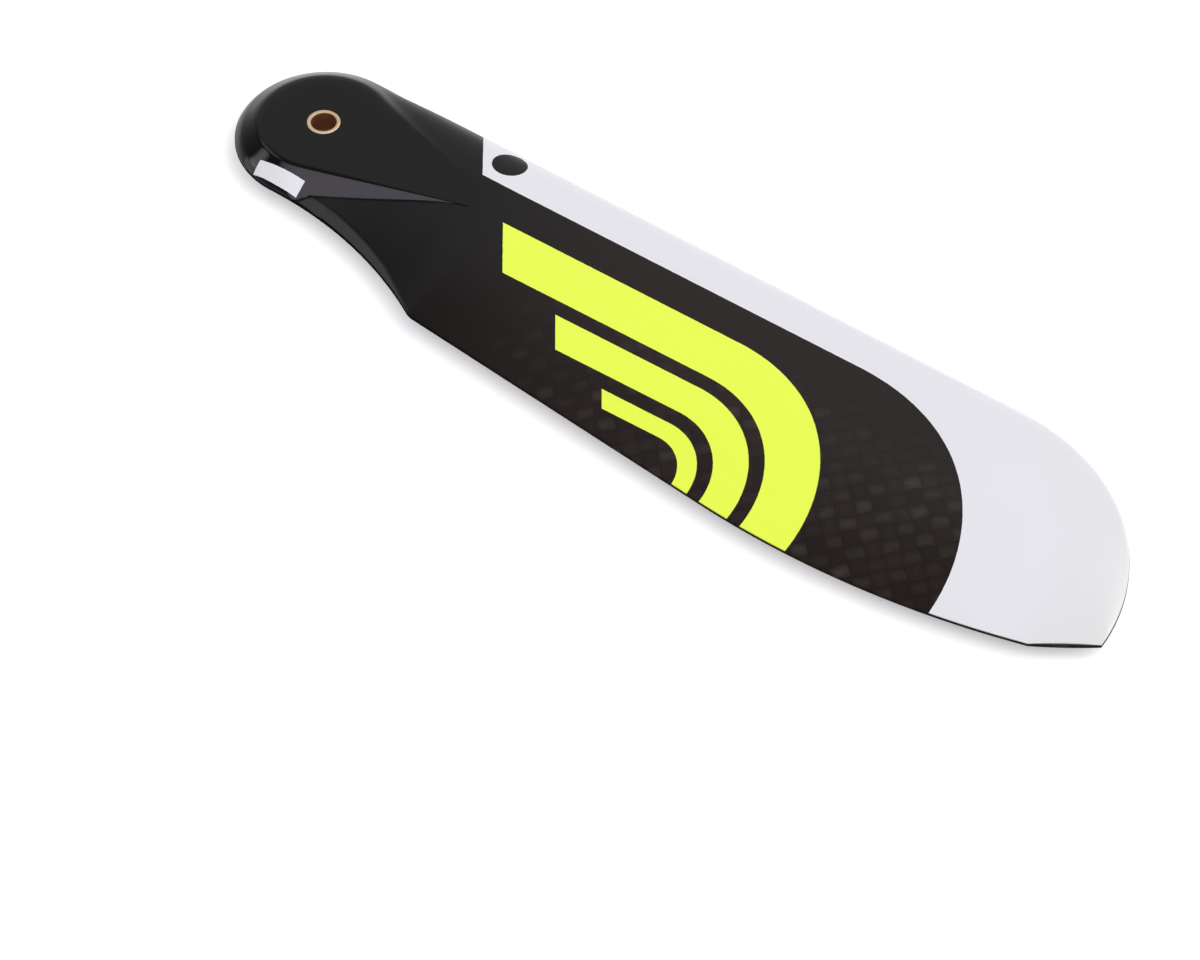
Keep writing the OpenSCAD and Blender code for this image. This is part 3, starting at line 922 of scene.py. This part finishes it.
def label_tree(material):
    """The label: a strip dropped on the blade's skin, with worn edges and its own thickness."""
    tree = new_geometry("Label on the root")
    size = size_inputs(tree, FittingSizes)
    tree.interface.new_socket("Skin", in_out="INPUT", socket_type="NodeSocketObject")
    entry = add(tree, "NodeGroupInput")
    skin = add(tree, "GeometryNodeObjectInfo", Object=entry.outputs["Skin"])
    strip = add(
        tree, "GeometryNodeMeshGrid", Size_X=size.label_l, Size_Y=size.label_w,
        Vertices_X=LABEL_STEPS[0], Vertices_Y=LABEL_STEPS[1])
    point = add(tree, "GeometryNodeInputPosition")
    where = add(tree, "ShaderNodeSeparateXYZ", Vector=point.outputs[0])
    u, v = (Rule(tree, socket) for socket in where.outputs[:2])
    nick = add(
        tree, "ShaderNodeTexNoise", {"noise_dimensions": "1D"}, W=u * NICK_SCALE + NICK_START,
        Scale=1.0, Detail=2.0)
    ragged = v * (1 + size.label_flare * u / size.label_l)
    ragged = ragged * (1 + (Rule(tree, nick.outputs[0]) - 0.5) * NICK_DEPTH)
    turn = size.label_turn
    px = size.label_x + u * turn.cos() - ragged * turn.sin()
    py = size.label_y + u * turn.sin() + ragged * turn.cos()
    above = add(tree, "ShaderNodeCombineXYZ", X=px, Y=py, Z=DROP_FROM)
    hit = add(
        tree, "GeometryNodeRaycast", Target_Geometry=skin.outputs["Geometry"],
        Source_Position=above.outputs[0], Ray_Direction=(0, 0, -1), Ray_Length=DROP_LENGTH)
    lift = add(
        tree, "ShaderNodeVectorMath", {"operation": "SCALE"}, Vector=hit.outputs["Hit Normal"],
        Scale=GLUE_T)
    seat = add(tree, "ShaderNodeVectorMath", {"operation": "ADD"})
    tree.links.new(hit.outputs["Hit Position"], seat.inputs[0])
    tree.links.new(lift.outputs[0], seat.inputs[1])
    laid = add(tree, "GeometryNodeSetPosition", Geometry=strip.outputs[0], Position=seat.outputs[0])
    thick = add(
        tree, "GeometryNodeExtrudeMesh", {"mode": "FACES"}, Mesh=laid.outputs[0],
        Offset_Scale=size.label_t, Individual=False)
    base = add(tree, "GeometryNodeFlipFaces", Mesh=laid.outputs[0])
    both = add(tree, "GeometryNodeJoinGeometry")
    tree.links.new(base.outputs[0], both.inputs[0])
    tree.links.new(thick.outputs[0], both.inputs[0])
    closed = add(
        tree, "GeometryNodeMergeByDistance", Geometry=both.outputs[0], Distance=SEAM_MERGE)
    close_tree(tree, closed.outputs[0], material)
    return tree


class ROTORBLADE_OT_skin(bpy.types.Operator):
    """Make the painted carbon blade"""

    bl_idname = "rotorblade.skin"
    bl_label = "Blade skin"

    def execute(self, context):
        paint, sizes = context.scene.blade_paint, context.scene.blade_sizes
        material = painted_carbon(paint, sizes, weave_group(), handling_group())
        piece = run_tree("blade_skin", skin_tree(material), named_values(sizes), material)
        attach(piece, BODY)
        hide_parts("blade")
        return {"FINISHED"}


class ROTORBLADE_OT_bushing(bpy.types.Operator):
    """Make the brass bushing in the root"""

    bl_idname = "rotorblade.bushing"
    bl_label = "Root bushing"

    def execute(self, context):
        fitting = context.scene.blade_fittings
        material = turned_brass(fitting, bpy.data.node_groups["Handling marks"])
        values = named_values(fitting)
        values["Outer radius"] = SLEEVE_HIGH.x
        values["Height"] = SLEEVE_HIGH.z - SLEEVE_LOW.z
        piece = run_tree("bushing_sleeve", sleeve_tree(material), values, material)
        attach(piece, BODY)
        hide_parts("root_bushing")
        return {"FINISHED"}


class ROTORBLADE_OT_label(bpy.types.Operator):
    """Lay the blank label on the root's edge"""

    bl_idname = "rotorblade.label"
    bl_label = "Root label"

    def execute(self, context):
        fitting = context.scene.blade_fittings
        material = label_paper(fitting, bpy.data.node_groups["Handling marks"])
        values = named_values(fitting)
        values["Skin"] = bpy.data.objects["blade_skin"]
        piece = run_tree("root_label", label_tree(material), values, material)
        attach(piece, BODY)
        return {"FINISHED"}


# The camera: place in metres, where it looks, its right hand, its roll and focal length by width
CAMERA_AT = Vector((0.361522, -0.449849, 0.576578))
CAMERA_LOOKS = Vector((-0.39041, 0.54586, -0.74136))
CAMERA_RIGHT = Vector((0.81338, 0.58174, 0.0))
CAMERA_ROLL = math.radians(0.035)
FOCAL_BY_WIDTH = 5.785642
# Softboxes in the room's light: bearing, angle from straight above, angles to where the full part
# and the soft part end, brightness and tint
GLOWS = [
    (-110, 32, 13, 19, 1.05, (0.97, 0.88, 1.15)),
    (-178, 40, 6, 15, 1.0, (1.02, 1.0, 0.98)),
    (-152, 60, 5, 11, 1.9, (1.06, 1.0, 0.93)),
    (-150, 75, 7, 14, 1.0, (1.06, 1.0, 0.93)),
    (-58, 46, 20, 55, 0.8, (1.0, 1.0, 1.0)),
    (30, 45, 18, 54, 1.75, (1.0, 1.0, 1.0)),
    (128, 60, 22, 40, 0.33, (1.0, 1.0, 1.0)),
]
# The rest of the room: its rise to the top, its brighter horizon, and what lies under the floor
ROOM_RISE = 0.1
HORIZON = 0.9
HORIZON_POWER = 4
ROOM_UNDER = 0.8
# The floor: half its side, its faint grain, and the wash that reflections see
FLOOR_HALF = 2.0
FLOOR_GRAIN = 0.995
GLOSS_WASH = 0.05


def direction(bearing, lean):
    """Unit vector of a bearing and an angle from straight above."""
    turn, tilt = math.radians(bearing), math.radians(lean)
    out = math.sin(tilt)
    return Vector((out * math.cos(turn), out * math.sin(turn), math.cos(tilt)))


def room_light(stage):
    """World with soft glows over the floor, and plain light under it."""
    world = bpy.data.worlds.new("Studio")
    world.use_nodes = True
    tree = world.node_tree
    ray = add(tree, "ShaderNodeTexCoord")
    split = add(tree, "ShaderNodeSeparateXYZ", Vector=ray.outputs["Generated"])
    way = [Rule(tree, socket) for socket in split.outputs]
    room = ROOM_RISE * way[2] + HORIZON * (1 - way[2].unit()) ** HORIZON_POWER
    light = [room * part for part in stage.sky]
    for bearing, lean, full, outer, bright, tint in GLOWS:
        near = sum(a * b for a, b in zip(way, direction(bearing, lean)))
        least, most = math.cos(math.radians(outer)), math.cos(math.radians(full))
        glow = ((near - least) / (most - least)).ease() * bright
        light = [whole + glow * part for whole, part in zip(light, tint)]
    under = way[2] < 0
    red, green, blue = (pick(under, ROOM_UNDER, whole) for whole in light)
    mixed = add(tree, "ShaderNodeCombineColor", Red=red, Green=green, Blue=blue)
    background = tree.nodes["Background"]
    plug(tree, background.inputs["Color"], mixed.outputs[0])
    background.inputs["Strength"].default_value = stage.light
    return world


def floor_material(stage):
    """Pale floor that the camera sees as white, with the object's shadow kept."""
    material, tree, shader = new_material("Pale floor")
    _, place = axes(tree)
    grain = add(tree, "ShaderNodeTexNoise", Vector=place, Scale=30.0, Detail=2.0)
    tint = blend_colour(
        tree, Rule(tree, grain.outputs[0]), shade(stage.floor, FLOOR_GRAIN), stage.floor)
    plug(tree, shader.inputs["Base Color"], tint)
    shader.inputs["Roughness"].default_value = 0.9
    shader.inputs["Specular IOR Level"].default_value = 0.0
    path = add(tree, "ShaderNodeLightPath")
    seen = Rule(tree, path.outputs["Is Camera Ray"]) * stage.wash
    mirrored = Rule(tree, path.outputs["Is Glossy Ray"])
    mirrored = mirrored.above(path.outputs["Is Transmission Ray"])
    shader.inputs["Emission Color"].default_value = (1, 1, 1, 1)
    plug(tree, shader.inputs["Emission Strength"], seen.above(mirrored * GLOSS_WASH))
    return material


class ROTORBLADE_OT_studio(bpy.types.Operator):
    """Set the floor, the soft light and the camera"""

    bl_idname = "rotorblade.studio"
    bl_label = "Studio"

    def execute(self, context):
        scene = context.scene
        stage = scene.blade_stage
        ground = CAD_LOW.z
        mesh = bpy.data.meshes.new("studio_floor")
        corners = [(-1, -1), (1, -1), (1, 1), (-1, 1)]
        mesh.from_pydata(
            [(x * FLOOR_HALF, y * FLOOR_HALF, ground) for x, y in corners], [], [(0, 1, 2, 3)])
        mesh.materials.append(floor_material(stage))
        floor = bpy.data.objects.new("studio_floor", mesh)
        scene.collection.objects.link(floor)

        scene.world = room_light(stage)
        lens = bpy.data.cameras.new("camera")
        lens.sensor_fit = "HORIZONTAL"
        lens.lens = lens.sensor_width * FOCAL_BY_WIDTH
        camera = bpy.data.objects.new("camera", lens)
        back = -CAMERA_LOOKS.normalized()
        up = back.cross(CAMERA_RIGHT.normalized())
        turn = Matrix((CAMERA_RIGHT.normalized(), up, back)).transposed()
        roll = Matrix.Rotation(CAMERA_ROLL, 4, "Z")
        camera.matrix_world = Matrix.Translation(CAMERA_AT) @ turn.to_4x4() @ roll
        scene.collection.objects.link(camera)
        scene.camera = camera
        scene.view_settings.view_transform = "Standard"
        return {"FINISHED"}


class ROTORBLADE_PT_panel(bpy.types.Panel):
    """Lists the sizes and the pieces of the blade"""

    bl_idname = "ROTORBLADE_PT_panel"
    bl_label = "Tail rotor blade"
    bl_space_type = "VIEW_3D"
    bl_region_type = "UI"
    bl_category = "Rotor blade"

    def draw(self, context):
        for name in SETTINGS:
            box = self.layout.box()
            settings = getattr(context.scene, name)
            for prop in settings.bl_rna.properties:
                if prop.type == "FLOAT":
                    box.prop(settings, prop.identifier)
        for step in STEPS:
            self.layout.operator(step.bl_idname)


SETTINGS = {
    "blade_sizes": BladeSizes,
    "blade_paint": PaintSettings,
    "blade_fittings": FittingSizes,
    "blade_stage": StageSettings,
}
STEPS = (ROTORBLADE_OT_skin, ROTORBLADE_OT_bushing, ROTORBLADE_OT_label, ROTORBLADE_OT_studio)
CLASSES = (*SETTINGS.values(), *STEPS, ROTORBLADE_PT_panel)


def register():
    """Registers the classes and hangs the settings on the scene."""
    for cls in CLASSES:
        bpy.utils.register_class(cls)
    for name, group in SETTINGS.items():
        setattr(bpy.types.Scene, name, PointerProperty(type=group))


def unregister():
    """Takes the settings and the classes away again."""
    for name in SETTINGS:
        delattr(bpy.types.Scene, name)
    for cls in reversed(CLASSES):
        bpy.utils.unregister_class(cls)


def main():
    """Makes every piece through its operator."""
    register()
    bpy.ops.rotorblade.skin()
    bpy.ops.rotorblade.bushing()
    bpy.ops.rotorblade.label()
    bpy.ops.rotorblade.studio()


if __name__ == "__main__":
    main()
